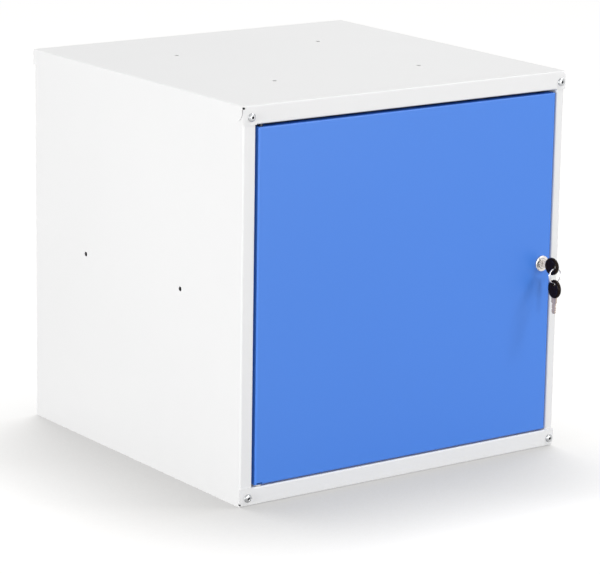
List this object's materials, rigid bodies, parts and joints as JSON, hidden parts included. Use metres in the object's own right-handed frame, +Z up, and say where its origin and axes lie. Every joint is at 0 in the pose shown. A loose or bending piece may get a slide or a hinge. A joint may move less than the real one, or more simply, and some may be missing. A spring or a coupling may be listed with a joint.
{
  "type": "cube locker",
  "caption": "Cube storage locker of folded steel sheet with a framed, hinged door, a cam lock with keys, and holes for joining lockers side by side or in a stack.",
  "frame": {"origin": "centre of the cabinet's base, on the floor", "axes": "+X to the cabinet's right seen from the front, +Y to the back, +Z up; the door is on the -Y side"},
  "size_m": [0.45, 0.4783, 0.45],
  "materials": {
    "cabinet_paint": "satin powder coat, very light grey",
    "door_paint": "satin powder coat, mid blue",
    "zinc_plate": "bright zinc plate",
    "nickel_plate": "nickel plate, polished",
    "brass": "machined",
    "nylon": "natural nylon",
    "black_plastic": "glossy moulding"
  },
  "bodies": {
    "cabinet": {"top_panel": "cabinet_paint", "bottom_panel": "cabinet_paint", "left_side_panel": "cabinet_paint", "right_side_panel": "cabinet_paint", "back_panel": "cabinet_paint", "screw_front_top_left": "zinc_plate", "screw_front_top_right": "zinc_plate", "screw_front_bottom_left": "zinc_plate", "screw_front_bottom_right": "zinc_plate", "screw_rear_top_left": "zinc_plate", "screw_rear_top_right": "zinc_plate", "screw_rear_bottom_left": "zinc_plate", "screw_rear_bottom_right": "zinc_plate", "nut_front_top_left": "zinc_plate", "nut_front_top_right": "zinc_plate", "nut_front_bottom_left": "zinc_plate", "nut_front_bottom_right": "zinc_plate", "nut_rear_top_left": "zinc_plate", "nut_rear_top_right": "zinc_plate", "nut_rear_bottom_left": "zinc_plate", "nut_rear_bottom_right": "zinc_plate", "back_rivet_left_1": "zinc_plate", "back_rivet_left_2": "zinc_plate", "back_rivet_left_3": "zinc_plate", "back_rivet_right_1": "zinc_plate", "back_rivet_right_2": "zinc_plate", "back_rivet_right_3": "zinc_plate", "lower_hinge_pin": "zinc_plate", "upper_hinge_pin": "zinc_plate", "lower_hinge_bush": "nylon"},
    "door": {"door_skin": "door_paint", "door_stiffener": "door_paint", "lock_housing": "nickel_plate", "lock_nut": "nickel_plate"},
    "lock_plug": {"lock_plug": "brass", "stop_washer": "zinc_plate", "lock_cam": "zinc_plate", "cam_washer": "zinc_plate", "cam_nut": "zinc_plate"},
    "key": {"key_blade": "nickel_plate", "key_head": "black_plastic"},
    "key_ring": {"key_ring": "nickel_plate"},
    "spare_key": {"spare_key_blade": "nickel_plate", "spare_key_head": "black_plastic"}
  },
  "joints": [
    {"name": "door_hinge", "type": "hinge", "parent": "cabinet", "child": "door", "pos_m": [-0.198, -0.2135, 0.225], "axis": [0, 0, -1], "range_deg": [0, 110]},
    {"name": "lock_turn", "type": "hinge", "parent": "door", "child": "lock_plug", "pos_m": [0.198, -0.2126, 0.225], "axis": [0, -1, 0], "range_deg": [0, 90]},
    {"name": "key_slide", "type": "slide", "parent": "lock_plug", "child": "key", "axis": [0, -1, 0], "range_m": [0, 0.02]},
    {"name": "ring_swing", "type": "hinge", "parent": "key", "child": "key_ring", "pos_m": [0.198, -0.2452, 0.22376], "axis": [-1, 0, 0], "range_deg": [-12, 60]},
    {"name": "spare_key_swing", "type": "hinge", "parent": "key_ring", "child": "spare_key", "pos_m": [0.198, -0.2452, 0.20636], "axis": [-1, 0, 0], "range_deg": [-15, 40]}
  ]
}
